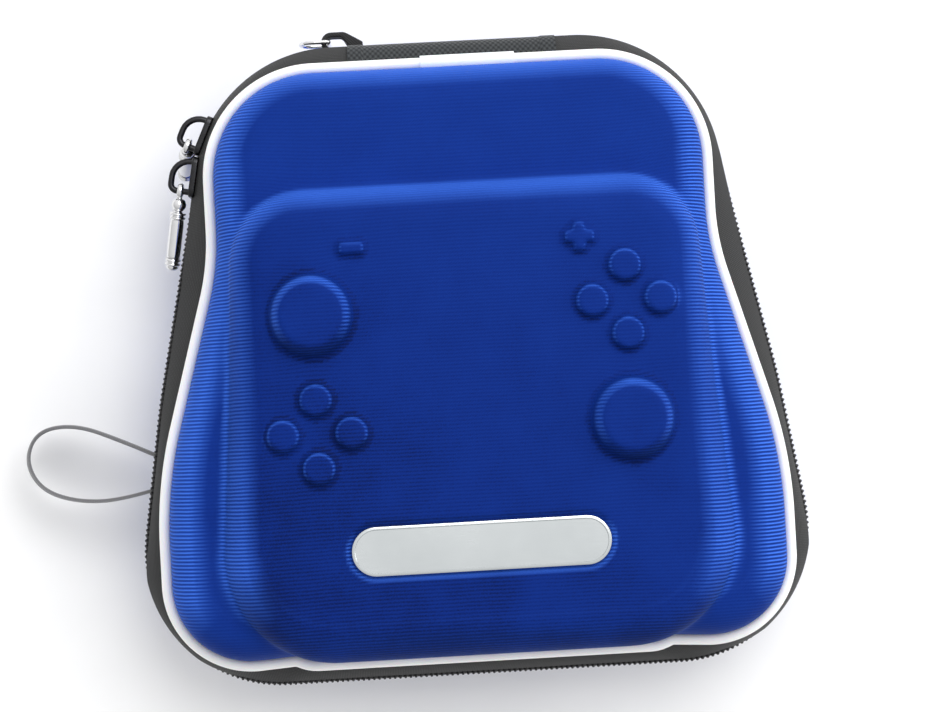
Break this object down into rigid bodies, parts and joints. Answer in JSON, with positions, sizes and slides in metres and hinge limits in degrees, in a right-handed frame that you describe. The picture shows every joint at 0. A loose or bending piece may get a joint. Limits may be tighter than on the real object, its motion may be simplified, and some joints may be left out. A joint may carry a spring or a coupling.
{
  "type": "controller carrying case",
  "caption": "Zipped moulded foam case for a game controller, ribbed blue cloth with a raised controller form on the lid, white piping, metal plate and ribbon loop.",
  "frame": {"origin": "middle of the flat back face, on the resting plane", "axes": "+Z from the back to the lid, +Y from the grip end to the hinge end, +X to the right seen from the lid"},
  "size_m": [0.189, 0.1576, 0.068],
  "materials": {
    "blue_cloth": "fine ribbed cloth",
    "white_piping": "satin",
    "zip_tape": "woven",
    "nylon_coil": "semi-matt",
    "black_metal": "semi-gloss",
    "bright_metal": "polished",
    "plate_metal": "bright satin",
    "black_webbing": "diagonal weave",
    "grey_ribbon": "woven",
    "binding_tape": "woven",
    "pocket_mesh": "open mesh",
    "elastic": "elastic weave"
  },
  "bodies": {
    "base": {"base_shell": "blue_cloth", "base_piping": "white_piping", "base_zip_tape": "zip_tape", "base_zip_coil": "nylon_coil", "hinge_panel": "black_webbing", "ring_tab": "black_webbing", "side_loop": "grey_ribbon", "base_seam_binding": "binding_tape", "controller_strap": "elastic"},
    "lid": {"lid_shell": "blue_cloth", "lid_piping": "white_piping", "lid_piping_sleeve": "white_piping", "lid_zip_tape": "zip_tape", "lid_zip_coil": "nylon_coil", "name_plate": "plate_metal", "lid_seam_binding": "binding_tape", "mesh_pocket": "pocket_mesh", "pocket_hem": "elastic"},
    "upper_slider": {"upper_slider": "black_metal"},
    "lower_slider": {"lower_slider": "black_metal"},
    "upper_pull": {"upper_pull": "bright_metal"},
    "lower_pull": {"lower_pull": "bright_metal"},
    "carry_ring": {"carry_ring": "bright_metal"}
  },
  "joints": [
    {"name": "lid_hinge", "type": "hinge", "parent": "base", "child": "lid", "pos_m": [0, 0.077, 0.03], "axis": [-1, 0, 0], "range_deg": [0, 125], "deforming": ["hinge_panel"]},
    {"name": "lower_slider_travel", "type": "slide", "parent": "base", "child": "lower_slider", "axis": [-0.1819, -0.9833, 0], "range_m": [0, 0.078]},
    {"name": "upper_slider_travel", "type": "hinge", "parent": "base", "child": "upper_slider", "pos_m": [-0.02883, 0.0418, 0.03], "axis": [0, 0, -1], "range_deg": [0, 40]},
    {"name": "lower_pull_swing", "type": "hinge", "parent": "lower_slider", "child": "lower_pull", "pos_m": [-0.06774, 0.04367, 0.03], "axis": [0.9833, -0.1819, 0], "range_deg": [-70, 78]},
    {"name": "upper_pull_swing", "type": "hinge", "parent": "upper_slider", "child": "upper_pull", "pos_m": [-0.06545, 0.05452, 0.03], "axis": [0.9101, -0.4144, 0], "range_deg": [0, 65]},
    {"name": "ring_swing", "type": "hinge", "parent": "base", "child": "carry_ring", "pos_m": [-0.0298, 0.07859, 0.0242], "axis": [0, 0, -1], "range_deg": [-12, 120]}
  ]
}
